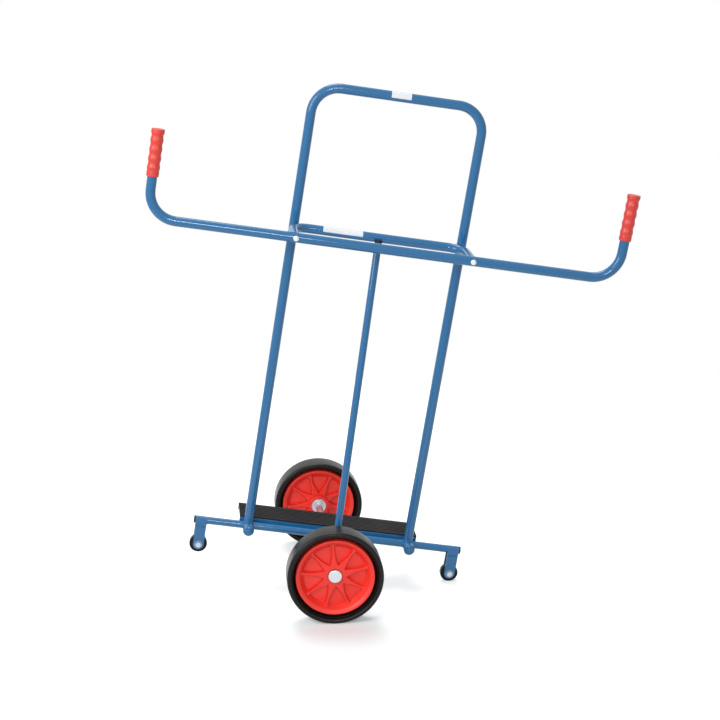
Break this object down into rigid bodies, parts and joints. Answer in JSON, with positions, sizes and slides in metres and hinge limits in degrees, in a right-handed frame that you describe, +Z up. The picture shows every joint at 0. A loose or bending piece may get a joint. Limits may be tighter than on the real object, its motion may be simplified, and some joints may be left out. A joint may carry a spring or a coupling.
{
  "type": "sheet goods cart",
  "caption": "Blue steel-tube cart for sheet goods, with large red wheels, small castors, a tall push handle, a handlebar with red grips and a rubber-covered load channel.",
  "frame": {"origin": "on the floor, straight below the point where the castor rail crosses the main axle", "axes": "+Z up, X along the castor rail's plan direction with the lowered right castor at +X, Y along the main axle with the handlebar at -Y"},
  "size_m": [1.2261, 0.6, 1.3521],
  "materials": {
    "blue_steel": "gloss powder coat",
    "rim_red": "moulded plastic",
    "grip_red": "soft moulded plastic",
    "tyre_black": "matte rubber",
    "rubber_black": "matte rubber",
    "plug_black": "matte plastic",
    "zinc_steel": "zinc plate"
  },
  "bodies": {
    "frame": {"rail_middle": "blue_steel", "rail_left": "blue_steel", "rail_right": "blue_steel", "rail_plug_left": "plug_black", "rail_plug_right": "plug_black", "cross_tube_left": "blue_steel", "cross_tube_right": "blue_steel", "cross_cap_front_left": "blue_steel", "cross_cap_front_right": "blue_steel", "cross_cap_rear_left": "blue_steel", "cross_cap_rear_right": "blue_steel", "load_channel": "blue_steel", "load_mat": "rubber_black", "frame_hoop": "blue_steel", "arm_bow": "blue_steel", "handlebar": "blue_steel", "grip_left": "grip_red", "grip_right": "grip_red", "handle_bolts": "zinc_steel", "arm_inserts": "zinc_steel", "front_brace": "blue_steel", "brace_plug": "plug_black", "axle": "zinc_steel", "front_cap": "zinc_steel", "front_washer": "zinc_steel", "front_collar": "zinc_steel", "rear_cap": "zinc_steel", "rear_washer": "zinc_steel", "rear_collar": "zinc_steel", "fork_front_left": "blue_steel", "fork_rear_left": "blue_steel", "castor_bolt_left": "zinc_steel", "castor_nut_left": "zinc_steel", "castor_washers_left": "zinc_steel", "fork_front_right": "blue_steel", "fork_rear_right": "blue_steel", "castor_bolt_right": "zinc_steel", "castor_nut_right": "zinc_steel", "castor_washers_right": "zinc_steel"},
    "front_wheel": {"front_tyre": "tyre_black", "front_rim": "rim_red", "front_bush": "zinc_steel"},
    "rear_wheel": {"rear_tyre": "tyre_black", "rear_rim": "rim_red", "rear_bush": "zinc_steel"},
    "castor_wheel_left": {"castor_tyre_left": "rubber_black", "castor_hub_left": "plug_black"},
    "castor_wheel_right": {"castor_tyre_right": "rubber_black", "castor_hub_right": "plug_black"}
  },
  "joints": [
    {"name": "front_wheel_spin", "type": "hinge", "parent": "frame", "child": "front_wheel", "pos_m": [0, -0.236, 0.125], "axis": [0, 1, 0], "continuous": true},
    {"name": "rear_wheel_spin", "type": "hinge", "parent": "frame", "child": "rear_wheel", "pos_m": [0, 0.302, 0.125], "axis": [0, 1, 0], "continuous": true},
    {"name": "castor_left_spin", "type": "hinge", "parent": "frame", "child": "castor_wheel_left", "pos_m": [-0.34876, 0, 0.13116], "axis": [0, 1, 0], "continuous": true},
    {"name": "castor_right_spin", "type": "hinge", "parent": "frame", "child": "castor_wheel_right", "pos_m": [0.33388, 0, 0.024], "axis": [0, 1, 0], "continuous": true}
  ]
}
